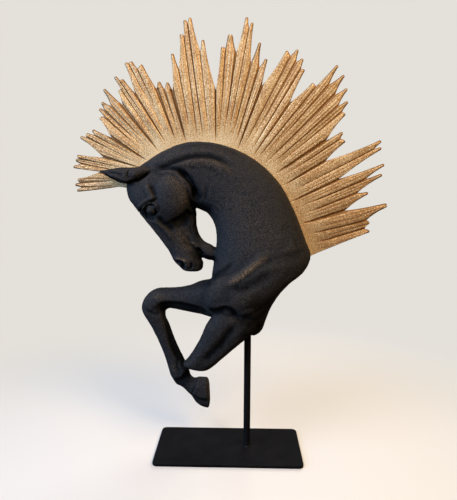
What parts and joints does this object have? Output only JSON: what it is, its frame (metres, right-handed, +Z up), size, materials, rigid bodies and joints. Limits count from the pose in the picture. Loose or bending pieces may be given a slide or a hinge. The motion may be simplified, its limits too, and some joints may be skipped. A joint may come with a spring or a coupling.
{
  "type": "horse sculpture on a stand",
  "caption": "Rearing horse's forequarter in black with a fan of gold rays for a mane, held up by a rod on a rectangular plate.",
  "frame": {"origin": "middle of the plate's underside, which stands on the table", "axes": "+Z up; the horse looks along -X; +X towards its withers; its far, raised foreleg is on the +Y side"},
  "size_m": [0.305, 0.0778, 0.4282],
  "materials": {
    "black_resin": "cast resin, matt charcoal black with a fine grain, rubbed with bronze along its ridges",
    "gold_resin": "cast resin, granular antique gold paint with brown left in the grooves",
    "black_steel": "satin black powder coat"
  },
  "bodies": {
    "root": {"horse": "black_resin", "sunburst_mane": "gold_resin", "stand_rod": "black_steel", "base_plate": "black_steel"}
  },
  "joints": []
}
